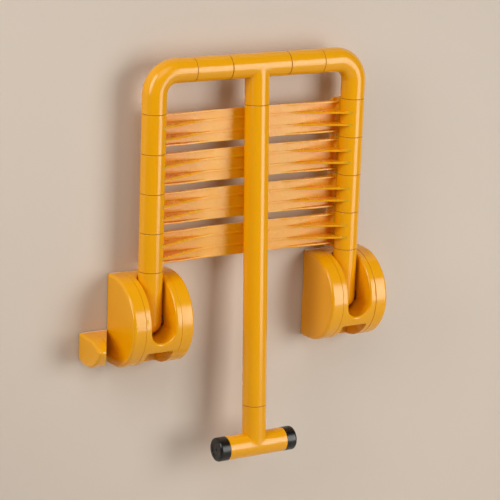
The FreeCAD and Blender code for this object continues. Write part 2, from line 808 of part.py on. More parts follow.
def slat_gaps(body):
    """Half of the round-ended gap to the next slat, cut from each long edge."""
    gap = "(slat_pitch/2 - slat_width/2)"
    reach = f"({ARM} - gap_end)"
    cuts = new_sketch(body, "XZ_Plane")
    for sign, turn in (("", ()), ("-", ("left",))):
        middle, edge, beyond = f"{sign}slat_pitch/2", f"{sign}slat_width/2", f"{sign}(slat_pitch/2 + 2)"
        outline(
            cuts,
            [
                (f"-{reach}", middle, gap, *turn),
                (f"-{reach}", beyond),
                (reach, beyond),
                (reach, middle),
                (f"{reach} - {gap}", edge, gap, *turn),
                (f"-{reach} + {gap}", edge),
            ],
        )
    pocket(body, cuts, both=True)


# Past the slats each arm carries on in an elbow moulding, then in a short sleeve up to the leg's tee.
def elbow_sleeve(side, sign, turn):
    low = f"({SLATS_TOP} + ring_thick/2)"
    body = new_body(f"{side}_elbow_sleeve", "0", "-wall_offset")
    path = new_sketch(body, "XZ_Plane")
    outline(
        path,
        [
            (f"{sign}{ARM}", low),
            (f"{sign}{ARM}", f"{REACH} - elbow_radius"),
            (f"{sign}({ARM} - elbow_radius)", REACH, "elbow_radius", *turn),
            (f"{sign}({BAR_SEAM} + ring_thick/2)", REACH),
        ],
        closed=False,
    )
    section = new_sketch(body, "XY_Plane", low)
    circle(circle(section, TUBE, f"{sign}{ARM}"), BORE, f"{sign}{ARM}")
    pipe(body, section, path)


def bar_sleeve(side, sign):
    body = new_body(f"{side}_bar_sleeve", "0", "-wall_offset", REACH)
    start = "(tee_half + ring_thick/2)" if sign > 0 else f"-({BAR_SEAM} - ring_thick/2)"
    section = circle(circle(new_sketch(body, "YZ_Plane", start), TUBE), BORE)
    pad(body, section, f"{BAR_SEAM} - tee_half - ring_thick")


# Thin rings part the mouldings on the core, five up each arm and four along the front bar.
def seat_spacer_rings():
    body = new_body("seat_spacer_rings", "0", "-wall_offset")
    for index in range(SLAT_COUNT + 1):
        rings = new_sketch(body, "XY_Plane", f"knuckle_top + {index}*slat_pitch")
        for across in (ARM, f"-{ARM}"):
            circle(circle(rings, RING, across), BORE, across)
        pad(body, rings, "ring_thick", both=True)
    for across in ("tee_half", "-tee_half", BAR_SEAM, f"-{BAR_SEAM}"):
        ring = new_sketch(body, "YZ_Plane", across)
        circle(circle(ring, RING, "0", REACH), BORE, "0", REACH)
        pad(body, ring, "ring_thick", both=True)


seat_core_tube()
for side, place, sign, turn in (("left", f"-{ARM}", "-", ()), ("right", ARM, "", ("left",))):
    arm_knuckle(side, place)
    elbow_sleeve(side, sign, turn)
    bar_sleeve(side, -1 if sign else 1)
for index in range(1, SLAT_COUNT + 1):
    seat_slat(index)
seat_spacer_rings()


# The leg swings on the front bar. Each of its pieces is modelled hanging straight down from the bar's axis,
# then leant out as far as the tall ribs of the top slat push it.
TEE_END = "(tee_half - ring_thick/2 - run_gap)"
LEG_SEAMS = ("tee_drop", "(leg_length - foot_rise)")
FIXINGS = ("(tee_drop - fixing_drop)", "(leg_length - foot_rise + fixing_drop)")
TEE_BUSH = f"({CORE} + run_fit + tee_bush_wall)"
FOOT_BORE = f"({BORE} + foot_bore_step)"
LEG_CORE_TOP = f"({TEE_BUSH} + 2.5)"
LEG_CORE_END = f"(leg_length - {FOOT_BORE} - foot_skin)"
HEAD_SEAT = f"({TUBE} - fixing_seat)"
# A tee's branch is a hair thinner than its bar, as moulded tees are where two cores meet.
BRANCH = f"({TUBE} - branch_step)"


def leg_body(label):
    body = new_body(label, "0", "-wall_offset", REACH)
    lean = FreeCAD.Rotation(FreeCAD.Vector(-1, 0, 0), number(LEG_LEAN))
    body.Placement = FreeCAD.Placement(body.Placement.Base, lean)
    body.setExpression(".Placement.Rotation.Angle", formula(LEG_LEAN))
    return body


def leg_tube(body, outer, inner, top, end):
    """A tube down the leg between two distances below the bar."""
    section = circle(circle(new_sketch(body, "XY_Plane", f"-{end}"), outer), inner)
    return pad(body, section, f"{end} - {top}")


def fixing_hole(body, drop, headroom):
    """A hole in the wall-side half of the leg for the screw that holds a tee on the core."""
    middle = f"-{drop}"
    hole = circle(new_sketch(body, "XZ_Plane"), "fixing_shank/2 + core_fit", "0", middle)
    pocket(body, hole, f"{TUBE} + 1")
    if headroom:
        seat = new_sketch(body, "XZ_Plane", f"-{HEAD_SEAT}")
        circle(seat, "fixing_head/2 + core_fit", "0", middle)
        pocket(body, seat, "fixing_seat + 1")


def leg_top_tee():
    body = leg_body("leg_top_tee")
    pad(body, circle(new_sketch(body, "YZ_Plane"), TUBE), f"2*{TEE_END}", both=True)
    seam = "(tee_drop - ring_thick/2)"
    pad(body, circle(new_sketch(body, "XY_Plane", f"-{seam}"), BRANCH), seam)
    pocket(body, circle(new_sketch(body, "YZ_Plane"), TEE_BUSH), both=True)
    branch = circle(new_sketch(body, "XY_Plane", f"-{seam}"), BORE)
    pocket(body, branch, f"{seam} - {LEG_CORE_TOP} + core_fit", front=True)
    fixing_hole(body, FIXINGS[0], True)
    bushes = leg_body("leg_hinge_bushes")
    for offset, back in ((f"{TEE_END} - tee_bush_length", False), (f"-({TEE_END} - tee_bush_length)", True)):
        ring = circle(circle(new_sketch(bushes, "YZ_Plane", offset), TEE_BUSH), f"({CORE} + run_fit)")
        pad(bushes, ring, "tee_bush_length", back=back)


def foot_tee():
    body = leg_body("foot_tee")
    bar = circle(new_sketch(body, "YZ_Plane"), TUBE, "0", "-leg_length")
    pad(body, bar, "2*tee_half", both=True)
    rise = "(foot_rise - ring_thick/2)"
    pad(body, circle(new_sketch(body, "XY_Plane", "-leg_length"), BRANCH), rise)
    bore = circle(new_sketch(body, "YZ_Plane"), FOOT_BORE, "0", "-leg_length")
    pocket(body, bore, both=True)
    branch = circle(new_sketch(body, "XY_Plane", f"-{LEG_CORE_END} - core_fit"), BORE)
    pocket(body, branch, "leg_length", front=True)
    fixing_hole(body, FIXINGS[1], True)


# A rubber cap plugs each end of the foot. Its rim is round, and its end is dished with a dot in the middle.
def foot_cap(side, sign):
    body = leg_body(f"{side}_foot_cap")
    start = "tee_half" if sign > 0 else "-tee_half"
    end = "(tee_half + foot_cap_length)" if sign > 0 else "-(tee_half + foot_cap_length)"
    disc = circle(new_sketch(body, "YZ_Plane", start), "foot_cap_dia/2", "0", "-leg_length")
    pad(body, disc, "foot_cap_length", back=sign < 0)
    face = number(end)
    soften(body, "foot_cap_round", lambda edge, middle: near(middle.x, face))
    dish = circle(new_sketch(body, "YZ_Plane", end), "foot_dish_dia/2", "0", "-leg_length")
    pocket(body, circle(dish, "foot_dot_dia/2", "0", "-leg_length"), "foot_dish_depth", front=sign < 0)
    spigot = circle(new_sketch(body, "YZ_Plane", start), FOOT_BORE, "0", "-leg_length")
    pad(body, spigot, "foot_spigot", back=sign > 0)


def leg_fixing_screws():
    body = leg_body("leg_fixing_screws")
    for drop in FIXINGS:
        shank = circle(new_sketch(body, "XZ_Plane", f"-{HEAD_SEAT}"), "fixing_shank/2", "0", f"-{drop}")
        pad(body, shank, f"{HEAD_SEAT} - {CORE} + core_wall + 1.5")
        head = circle(new_sketch(body, "XZ_Plane", f"-{HEAD_SEAT}"), "fixing_head/2", "0", f"-{drop}")
        pad(body, head, "fixing_head_thick", back=True)
    head_top = number(f"{HEAD_SEAT} + fixing_head_thick")
    soften(body, "fixing_head_round", lambda edge, middle: near(middle.y, head_top))
    for drop in FIXINGS:
        top = new_sketch(body, "XZ_Plane", f"-({HEAD_SEAT} + fixing_head_thick)")
        pocket(body, hexagon(top, "fixing_socket", f"-{drop}"), "fixing_socket_depth", front=True)


leg_top_tee()
leg_core = leg_body("leg_core_tube")
leg_tube(leg_core, CORE, f"({CORE} - core_wall)", LEG_CORE_TOP, LEG_CORE_END)
for drop in FIXINGS:
    fixing_hole(leg_core, drop, False)
leg_tube(leg_body("leg_sleeve"), TUBE, BORE, "(tee_drop + ring_thick/2)", f"({LEG_SEAMS[1]} - ring_thick/2)")
foot_tee()
foot_cap("left", -1)
foot_cap("right", 1)
leg_rings = leg_body("leg_spacer_rings")
for seam in LEG_SEAMS:
    leg_tube(leg_rings, RING, BORE, f"({seam} - ring_thick/2)", f"({seam} + ring_thick/2)")
leg_fixing_screws()

doc.recompute()
for item in doc.Objects:
    if "Invalid" in item.State or "Error" in item.State:
        raise RuntimeError(f"{item.Label} is in the state {item.State}")

os.makedirs("parts", exist_ok=True)
for body in doc.Objects:
    if body.TypeId != "PartDesign::Body":
        continue
    if body.Shape.isNull() or not body.Shape.isValid() or not body.Shape.Solids:
        raise RuntimeError(f"{body.Label} has no sound solid")
    body.Shape.exportStep(f"parts/{body.Label}.step")
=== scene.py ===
"""Fold down wall seat, folded up against the wall.

Each section below is one piece, or one group of like pieces, in the order in which the seat is put
together: wall brackets, side block, seat frame, slats, leg and foot, then the room around it. The wall is
Y = 0, the room lies towards -Y, and the hinge axis is at the height Z = 0. Pieces are sized in millimetres;
materials, room, camera and lamps in metres. Words such as out, up and across mean -Y, Z and X.
"""
import math

import bmesh
import bpy
import numpy as np
from mathutils import Matrix


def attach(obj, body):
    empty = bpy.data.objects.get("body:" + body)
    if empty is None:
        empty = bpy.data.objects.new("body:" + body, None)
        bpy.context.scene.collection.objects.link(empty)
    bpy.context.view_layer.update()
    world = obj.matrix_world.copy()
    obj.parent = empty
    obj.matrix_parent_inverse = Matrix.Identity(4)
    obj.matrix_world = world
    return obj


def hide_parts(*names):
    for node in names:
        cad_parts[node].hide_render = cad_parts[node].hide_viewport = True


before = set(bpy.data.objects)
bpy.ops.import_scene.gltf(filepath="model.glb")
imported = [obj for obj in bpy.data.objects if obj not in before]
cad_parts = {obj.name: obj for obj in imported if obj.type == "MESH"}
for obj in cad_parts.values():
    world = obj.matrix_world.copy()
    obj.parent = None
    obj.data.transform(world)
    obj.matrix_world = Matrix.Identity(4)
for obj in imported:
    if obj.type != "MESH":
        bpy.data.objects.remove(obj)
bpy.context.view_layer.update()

# Wall yokes, hinge bolts, nuts and washers. Stainless steel, pressed from sheet or turned from bar, and
# bolted together through the housings. Each is a merged copy of its CAD shape with its edges broken.
MM = 0.001


def linear(colour):
    """An sRGB hex colour as linear red, green, blue and alpha. A part c becomes c/12.92 up to 0.04045, and
    ((c + 0.055)/1.055)^2.4 above it."""
    parts = np.array([int(colour[place : place + 2], 16) / 255 for place in (1, 3, 5)])
    parts = np.where(parts <= 0.04045, parts / 12.92, ((parts + 0.055) / 1.055) ** 2.4)
    return (*parts.tolist(), 1.0)


def add(material, kind, inputs=None, **settings):
    """One node with its settings; an input is a value, or the output that is linked to it."""
    node = material.node_tree.nodes.new(kind)
    for name, value in settings.items():
        setattr(node, name, value)
    for name, value in (inputs or {}).items():
        if isinstance(value, bpy.types.NodeSocket):
            material.node_tree.links.new(value, node.inputs[name])
        else:
            node.inputs[name].default_value = value
    return node


def empty_material(name):
    material = bpy.data.materials.new(name)
    material.use_nodes = True
    material.node_tree.nodes.clear()
    return material


def brushed_stainless(name, colour, worn):
    """Brushed stainless steel: scratches 0.4 mm apart and 25 mm long along X, drawn coarser than real ones so
    that they show. They spread the highlight, and the tone shifts over 30 mm where it was handled."""
    material = empty_material(name)
    place = add(material, "ShaderNodeTexCoord").outputs["Object"]
    scratches = (1 / 0.025, 1 / 0.0004, 1 / 0.0004)
    along = add(material, "ShaderNodeMapping", {"Vector": place, "Scale": scratches})
    scratch = add(
        material, "ShaderNodeTexNoise", {"Vector": along.outputs["Vector"], "Scale": 1.0, "Detail": 2.0}
    )
    cloud = add(material, "ShaderNodeTexNoise", {"Vector": place, "Scale": 1 / 0.03, "Detail": 2.0})
    tint = add(
        material,
        "ShaderNodeMix",
        {"Factor": cloud.outputs["Fac"], "A": linear(colour), "B": linear(worn)},
        data_type="RGBA",
    )
    gloss = add(
        material,
        "ShaderNodeMapRange",
        {
            "Value": scratch.outputs["Fac"],
            "From Min": 0.3,
            "From Max": 0.7,
            "To Min": 0.24,
            "To Max": 0.4,
        },
    )
    relief = add(
        material, "ShaderNodeBump", {"Height": scratch.outputs["Fac"], "Strength": 0.5, "Distance": 0.00002}
    )
    shader = add(
        material,
        "ShaderNodeBsdfPrincipled",
        {
            "Base Color": tint.outputs["Result"],
            "Metallic": 1.0,
            "Roughness": gloss.outputs["Result"],
            "Normal": relief.outputs["Normal"],
        },
    )
    add(material, "ShaderNodeOutputMaterial", {"Surface": shader.outputs["BSDF"]})
    return material


steel = brushed_stainless("brushed stainless steel", "#C3C3C4", "#ADADB0")


def settle(mesh, sharp):
    """Joins touching corners, turns every face outwards, and leaves as sharp only the edges that bend by more
    than the angle sharp, in degrees. The rest is shaded smooth."""
    work = bmesh.new()
    work.from_mesh(mesh)
    bmesh.ops.remove_doubles(work, verts=work.verts, dist=0.002 * MM)
    bmesh.ops.dissolve_degenerate(work, edges=work.edges, dist=0.001 * MM)
    bmesh.ops.recalc_face_normals(work, faces=work.faces)
    work.to_mesh(mesh)
    work.free()
    mesh.polygons.foreach_set("use_smooth", np.ones(len(mesh.polygons), bool))
    mesh.set_sharp_from_angle(angle=math.radians(sharp))


def stand_in(name, mesh, body, slot, *nodes):
    """An object at the origin that rides on the body and stands for the nodes."""
    piece = bpy.data.objects.new(name, mesh)
    bpy.context.scene.collection.objects.link(piece)
    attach(piece, body)
    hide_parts(*nodes)
    return piece


def finished(node, body, slot, material, rounding):
    """A merged copy of the node's own mesh, whose hard edges are rounded off, stands for the node."""
    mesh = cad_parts[node].data.copy()
    settle(mesh, sharp=32)
    mesh.materials.clear()
    mesh.materials.append(material)
    piece = stand_in(f"{node}.finished", mesh, body, slot, node)
    if rounding:
        bevel = piece.modifiers.new("broken edges", "BEVEL")
        bevel.width = rounding * MM
        bevel.segments = 3
        bevel.limit_method = "ANGLE"
        bevel.angle_limit = math.radians(40)
        bevel.harden_normals = True


for side in ("left", "right"):
    finished(f"{side}_wall_yoke", "wall_brackets", "steel", steel, 0.3)
    finished(f"{side}_hinge_bolt", "wall_brackets", "steel", steel, 0.35)
    finished(f"{side}_hinge_nut", "wall_brackets", "steel", steel, 0.35)
    finished(f"{side}_hinge_washers", "wall_brackets", "steel", steel, 0.15)

# Bracket housings. Each is one nylon moulding with two cheeks and a round-bottomed channel for the arm
# between them. The polished tool leaves a glossy skin with a hint of orange peel, and softly rounded rims.


def moulded_nylon(name, colour, cloud, roughness, peel, glow=0.0):
    """Solid-coloured nylon from a mould. The colour drifts over some 90 mm, as pigment does in the melt, the
    gloss varies over some 15 mm from handling, and the skin has a faint orange peel about 3 mm across, peel
    deep. A thin wall glows: light enters and comes out redder a few millimetres away."""
    material = empty_material(name)
    place = add(material, "ShaderNodeTexCoord").outputs["Object"]
    drift = add(material, "ShaderNodeTexNoise", {"Vector": place, "Scale": 1 / 0.09, "Detail": 2.0})
    tint = add(
        material,
        "ShaderNodeMix",
        {"Factor": drift.outputs["Fac"], "A": linear(colour), "B": linear(cloud)},
        data_type="RGBA",
    )
    handled = add(material, "ShaderNodeTexNoise", {"Vector": place, "Scale": 1 / 0.015, "Detail": 3.0})
    gloss = add(
        material,
        "ShaderNodeMapRange",
        {
            "Value": handled.outputs["Fac"],
            "From Min": 0.3,
            "From Max": 0.7,
            "To Min": roughness - 0.03,
            "To Max": roughness + 0.04,
        },
    )
    skin = add(material, "ShaderNodeTexNoise", {"Vector": place, "Scale": 1 / 0.003, "Detail": 1.0})
    relief = add(
        material, "ShaderNodeBump", {"Height": skin.outputs["Fac"], "Strength": 1.0, "Distance": peel}
    )
    shader = add(
        material,
        "ShaderNodeBsdfPrincipled",
        {
            "Base Color": tint.outputs["Result"],
            "Roughness": gloss.outputs["Result"],
            "Normal": relief.outputs["Normal"],
            "IOR": 1.53,
            "Subsurface Weight": glow,
            "Subsurface Radius": (1.0, 0.3, 0.05),
            "Subsurface Scale": 0.009,
        },
    )
    add(material, "ShaderNodeOutputMaterial", {"Surface": shader.outputs["BSDF"]})
    return material


yellow_nylon = moulded_nylon("glossy yellow moulded nylon", "#F3AD05", "#EDA303", roughness=0.2, peel=4e-6)
for side in ("left", "right"):
    finished(f"{side}_bracket_housing", "wall_brackets", "nylon_yellow", yellow_nylon, 0.4)

# Slot discs. Two thin rings of brown spacer plastic, stamped from sheet, keep each arm off the cheeks. They
# sit on the hinge bolt, deep in the channel, and hardly show.


def stamped_plastic(name, colour, speck):
    """Matt plastic stamped from sheet: a dull surface with specks about 1.5 mm across."""
    material = empty_material(name)
    place = add(material, "ShaderNodeTexCoord").outputs["Object"]
    specks = add(material, "ShaderNodeTexNoise", {"Vector": place, "Scale": 1 / 0.0015, "Detail": 2.0})
    tint = add(
        material,
        "ShaderNodeMix",
        {"Factor": specks.outputs["Fac"], "A": linear(colour), "B": linear(speck)},
        data_type="RGBA",
    )
    relief = add(
        material, "ShaderNodeBump", {"Height": specks.outputs["Fac"], "Strength": 0.6, "Distance": 0.00005}
    )
    shader = add(
        material,
        "ShaderNodeBsdfPrincipled",
        {"Base Color": tint.outputs["Result"], "Roughness": 0.6, "Normal": relief.outputs["Normal"]},
    )
    add(material, "ShaderNodeOutputMaterial", {"Surface": shader.outputs["BSDF"]})
    return material


spacer_brown = stamped_plastic("matt brown spacer plastic", "#986216", "#84500F")
for side in ("left", "right"):
    finished(f"{side}_slot_discs", "wall_brackets", "seam_brown", spacer_brown, 0.1)

# Side caps. A hollow half shell of nylon with the bracket's outline clips over each end of the hinge bolt
# with two pegs. It has a crisp seam towards the housing and a round outer edge, and the outer cap of the
# right bracket stands a little further off its cheek than the others, as in the photograph.
ARM = 162.5  # from the seat's middle to each arm's axis, and to each bracket's middle
BRACKET_STRAIGHT = 18  # the bracket is straight for this depth from the wall, and half round beyond it
BRACKET_RADIUS = 66
BRACKET_HALF = 48.0  # half the bracket's width, over the caps
CAP_START = 28.4  # from the bracket's middle to the seam
CAP_WALL = 3.0
CAP_ROUND = 4.5
LIP_ROUND = 0.4
OPEN_SEAM = 0.6
PEG_OUT, PEG_UP, PEG_RADIUS = 60.0, 29.96, 3
PEG_TIP = 23.3  # from the bracket's middle


def outline_rings(profile):
    """Rings in the bracket's outline. Each pair (inset, across) of the profile gives one ring: its points lie
    r = radius - inset above and below the axis up to the straight depth, and then on the half circle
    (straight + r*sin turn, r*cos turn)."""
    inset, across = np.array(profile, float).T
    reach = (BRACKET_RADIUS - inset)[:, None]
    turn = np.linspace(0, np.pi, 73)[None, :]
    out = np.hstack([0 * reach, BRACKET_STRAIGHT + reach * np.sin(turn), 0 * reach])
    up = np.hstack([reach, reach * np.cos(turn), -reach])
    return np.stack([np.broadcast_to(across[:, None], out.shape), -out, up], axis=-1)


def arc(centre_a, centre_b, radius, first, last, steps=4):
    """Points of an arc in a profile's plane: centre + radius*(cos, sin) of the angles from first to last."""
    angle = np.radians(np.linspace(first, last, steps + 1))
    return np.stack([centre_a + radius * np.cos(angle), centre_b + radius * np.sin(angle)], axis=1)


def straight_path(origin, axis, side):
    """A straight path: centre = origin + distance*axis, with the same side and cross directions all along."""
    origin, axis, side = (np.array(part, float) for part in (origin, axis, side))

    def frames(distance):
        centres = origin + distance[:, None] * axis
        cross = np.cross(axis, side)
        return centres, np.broadcast_to(side, centres.shape), np.broadcast_to(cross, centres.shape)

    return frames


def carried(profile, frames, around=96):
    """A ring carried along a path. Each pair (radius, distance) of the profile gives one ring of points,
    centre(distance) + radius*(cos angle*side(distance) + sin angle*cross(distance))."""
    radius, distance = np.array(profile, float).T
    centres, sides, crosses = frames(distance)
    angle = np.linspace(0, 2 * np.pi, around + 1)[None, :, None]
    spokes = np.cos(angle) * sides[:, None] + np.sin(angle) * crosses[:, None]
    return centres[:, None] + radius[:, None, None] * spokes


def made(name, sheets, body, slot, material, *nodes, second=None):
    """A piece from grids of points in millimetres: each four neighbours make a face, and grids that touch
    are joined. A grid paired with 1 takes the second material. Flat faces keep their even shade."""
    points, faces, kinds, start = [], [], [], 0
    for sheet in sheets:
        kind, grid = sheet if isinstance(sheet, tuple) else (0, sheet)
        rows, columns = grid.shape[:2]
        corner = start + np.arange(rows * columns).reshape(rows, columns)
        quads = np.stack([corner[:-1, :-1], corner[:-1, 1:], corner[1:, 1:], corner[1:, :-1]], axis=-1)
        faces.append(quads.reshape(-1, 4))
        points.append(grid.reshape(-1, 3) * MM)
        kinds.append(np.full(quads.size // 4, kind))
        start += rows * columns
    mesh = bpy.data.meshes.new(name)
    mesh.from_pydata(np.concatenate(points).tolist(), [], np.concatenate(faces).tolist())
    mesh.materials.append(material)
    if second:
        mesh.materials.append(second)
        mesh.polygons.foreach_set("material_index", np.concatenate(kinds).astype(np.int32))
    settle(mesh, sharp=38)
    piece = stand_in(name, mesh, body, slot, *nodes)
    shade = piece.modifiers.new("even shading", "WEIGHTED_NORMAL")
    shade.keep_sharp = True


def cap_shell(middle, toward, gap):
    """The outer skin, the lining one wall inside it, the strips that join them at the seam and at the wall,
    and the pegs. Both profiles have as many points, and run from the seam over the edge to the axis, which
    closes the flat face."""
    start, end = CAP_START + gap, BRACKET_HALF + gap
    face = [(inset, end) for inset in (14, 26, 40, 54, BRACKET_RADIUS)]
    outer = np.vstack(
        [
            arc(LIP_ROUND, start + LIP_ROUND, LIP_ROUND, 270, 180, 3),
            arc(CAP_ROUND, end - CAP_ROUND, CAP_ROUND, 180, 90, 7),
            face,
        ]
    )
    root = end - CAP_WALL
    inward = np.linspace(CAP_WALL, BRACKET_RADIUS, len(outer) - 3)[1:]
    inner = np.vstack(
        [
            np.stack([np.full(4, CAP_WALL), np.linspace(start, root, 4)], axis=1),
            np.stack([inward, np.full(len(inward), root)], axis=1),
        ]
    )
    skin, lining = outline_rings(outer), outline_rings(inner)
    edges = [
        np.stack([skin[0], lining[0]]),
        np.stack([skin[:, 0], lining[:, 0]]),
        np.stack([skin[:, -1], lining[:, -1]]),
    ]
    tip = PEG_TIP + gap
    peg = [(0, tip), (PEG_RADIUS - 0.3, tip), (PEG_RADIUS, tip + 0.3), (PEG_RADIUS, root), (0, root)]
    pegs = [
        carried(peg, straight_path((0, -PEG_OUT, up), (1, 0, 0), (0, 1, 0)), 32) for up in (-PEG_UP, PEG_UP)
    ]
    return [grid * (toward, 1, 1) + (middle, 0, 0) for grid in [skin, lining, *edges, *pegs]]


for side, outward in (("left", -1), ("right", 1)):
    outer_gap = OPEN_SEAM if side == "right" else 0.0
    for name, toward, gap in (("outer", outward, outer_gap), ("inner", -outward, 0.0)):
        node = f"{side}_{name}_cap"
        shell = cap_shell(outward * ARM, toward, gap)
        made(f"{node}.shell", shell, "wall_brackets", "nylon_yellow", yellow_nylon, node)

# Side block. Two nylon mouldings stand on the wall beside the left bracket: a solid base with a flange for
# the wall screws, and a cap clipped over it. Their end towards the bracket slants away from it.
for node in ("side_block_base", "side_block_cap"):
    finished(node, "wall_brackets", "nylon_yellow", yellow_nylon, 0.6)

# Core tube and hinge bushes. A stainless tube 25 mm across and 1.5 mm thick, bent into a U, carries the
# seat, with a welded steel bush across each end for the hinge bolt.
finished("seat_core_tube", "seat_frame", "steel", steel, 0)
for side in ("left", "right"):
    finished(f"{side}_hinge_bush", "seat_frame", "steel", steel, 0.15)

# Arm knuckles. The lowest nylon moulding on each arm, pushed on to the core tube, ends in a half ball about
# the hinge axis and fits in the bracket's channel.
for side in ("left", "right"):
    finished(f"{side}_arm_knuckle", "seat_frame", "nylon_yellow", yellow_nylon, 0.4)

# Slats. Each is one nylon moulding: a thin plate with two sleeves, tall ribs that run out low towards the
# middle, and low rims along its edges. The thin walls let light through, so they look more orange.
orange_nylon = moulded_nylon(
    "semi-gloss orange moulded nylon", "#F5AE08", "#EFA606", roughness=0.28, peel=6e-6, glow=0.6
)
TUBE, BORE = 17.5, 12.65  # radius of the moulded tubes, and of their bore for the core tube
OUT = 37  # from the wall to the axes of the hinges, the arms and the front bar
KNUCKLE_TOP = 74.1  # height of the lowest seam on the arms
PITCH = 56.3
SLAT_HALF = 27.75  # half of a sleeve's length; the spacer rings fill the rest of the pitch
PLATE_HALF = 23.0
PLATE_FRONT, PLATE_BACK = 14.7, 17.5  # how far the plate's faces lie behind the arms' axes


def tube_wall(outer, start, end, rounding=0.5, between=()):
    """A tube's wall as a closed profile of (radius, distance): along the outside between rounded rims, across
    the end, and back along the bore."""
    middle = np.array(between, float)
    return np.vstack(
        [
            [(BORE, start)],
            arc(outer - rounding, start + rounding, rounding, -90, 0),
            np.stack([np.full(len(middle), outer), middle], axis=1),
            arc(outer - rounding, end - rounding, rounding, 0, 90),
            [(BORE, end)],
            np.stack([np.full(len(middle), BORE), middle[::-1]], axis=1),
            [(BORE, start)],
        ]
    )


def slat_plate():
    """Half of the ribbed plate, from the middle to the right sleeve, as a grid: columns are distances a
    across, rows go round the section, and a level is measured from the arms' axes towards the wall. Each
    rib's edge is level, then the arc top - R + sqrt(R^2 - (a - start)^2), then falls at 21 degrees to its
    lowest point on the sleeve. Each rim deepens evenly from its start to its end. The plate widens at its
    end by a quarter round, half = pitch/2 - sqrt(r^2 - flare^2), and meets the sleeve in a fillet. Every row
    ends inside the sleeve's wall."""
    fillet, embedded = 6, 15
    fillet_level = PLATE_FRONT - fillet
    fillet_start = ARM - math.sqrt((TUBE + fillet) ** 2 - fillet_level**2)
    gap_end, gap_round = ARM - 24, PITCH / 2 - PLATE_HALF
    flare_start = gap_end - gap_round
    flare_reach = 5.128  # to where the plate is about as wide as the sleeve
    rim_thick, rib_outer, rib_inner = 2.5, 10.5, 7.5
    rib_top, rib_lowest, rib_radius, rib_slope = 13.9, -15.5, 120, math.radians(21)
    rib_end = ARM - math.sqrt(TUBE**2 - rib_lowest**2)
    rib_knee = rib_end - (rib_top - rib_lowest) / math.tan(rib_slope)
    tangent = rib_radius * math.tan(rib_slope / 2)
    arc_start, arc_end = rib_knee - tangent, rib_knee + tangent * math.cos(rib_slope)
    rim_start, rim_end, rim_depth = ARM - 105, ARM - 52, 5.5
    across = np.concatenate(
        [
            [0, 20, 40, arc_start, rim_start, 62, 67, 72, 77, 82, 87, 92, arc_end, 104, rim_end, 117, 125],
            flare_start + flare_reach * np.sin(np.linspace(0, np.pi / 2, 8)),
            [gap_end + 0.05],
            fillet_start + fillet * np.sin(np.linspace(0, np.pi / 2, 7)),
            [150, rib_end, ARM],
        ]
    )
    a = np.minimum(across, rib_end)
    flare = np.clip(a - flare_start, 0, gap_round)
    half = np.where(a > gap_end, SLAT_HALF, PITCH / 2 - np.sqrt(gap_round**2 - flare**2))
    under = fillet_level + np.sqrt(fillet**2 - np.clip(a - fillet_start, 0, fillet) ** 2)
    bend = rib_top - rib_radius + np.sqrt(rib_radius**2 - np.clip(a - arc_start, 0, arc_end - arc_start) ** 2)
    rib = np.minimum(np.where(a > arc_end, rib_top - (a - rib_knee) * math.tan(rib_slope), bend), under)
    deepening = np.clip((a - rim_start) / (rim_end - rim_start), 0, 1)
    rim = np.minimum(PLATE_FRONT - rim_depth * deepening, under)

    def flank(tip, face, away, root, draft, rounding):
        """From the plate to the edge of a rib, along a face at the height face that looks away (1 up, -1
        down): a fillet at the root, the drafted face, and the rounded edge."""
        height = under - tip
        places = [face + away * root, face + away * draft, face + away * draft / 2]
        places += [face, face - away * 0.3 * rounding, face - away * rounding]
        levels = [under, under - np.minimum(0.4, 0.35 * height), under - height / 2]
        levels += [tip + np.minimum(0.45, 0.35 * height), tip + np.minimum(0.12, 0.1 * height), tip]
        return list(zip([place + 0 * under for place in places], levels))

    rim_outside = flank(rim, PLATE_HALF, 1, root=0.4, draft=0.08, rounding=0.35)
    rim_inside = flank(rim, PLATE_HALF - rim_thick, -1, root=0.45, draft=0.1, rounding=0.35)[::-1]
    rib_outside = flank(rib, rib_outer, 1, root=0.4, draft=0.1, rounding=0.3)
    rib_inside = flank(rib, rib_inner, -1, root=0.4, draft=0.1, rounding=0.3)[::-1]
    upper = [(half, under), *rim_outside, *rim_inside, *rib_outside, *rib_inside]
    lower = [(-up, level) for up, level in upper[::-1]]
    up = np.clip(np.array([place for place, _ in upper + lower]), -half, half)
    level = np.array([height for _, height in upper + lower])
    flat = len(up) - 6
    flat_up = (half - 1) * np.linspace(1, -1, flat)[:, None]
    back_up = np.vstack([half, half - 0.15, half - 0.5, flat_up, 0.5 - half, 0.15 - half, -half])
    back_round = [PLATE_BACK - 1, PLATE_BACK - 0.52, PLATE_BACK - 0.15]
    back_level = np.concatenate([back_round, np.full(flat, PLATE_BACK), back_round[::-1]])
    back_level = np.broadcast_to(back_level[:, None], level.shape)
    section_up = np.vstack([back_up, up[::-1], back_up[:1]])
    section_level = np.vstack([back_level, level[::-1], back_level[:1]])
    inside = ARM - np.sqrt(np.clip(embedded**2 - section_level**2, 0, None))
    place = np.where(across[None, :] > rib_end, inside, np.minimum(across[None, :], inside))
    strip = np.stack([place, section_level, section_up], axis=-1)
    share = np.linspace(0, 1, 9)[:, None]
    end_up = back_up[:, -1] * (1 - share) + up[:, -1] * share
    end_level = back_level[:, -1] * (1 - share) + level[:, -1] * share
    end_place = ARM - np.sqrt(np.clip(embedded**2 - end_level**2, 0, None))
    return strip, np.stack([end_place, end_level, end_up], axis=-1)


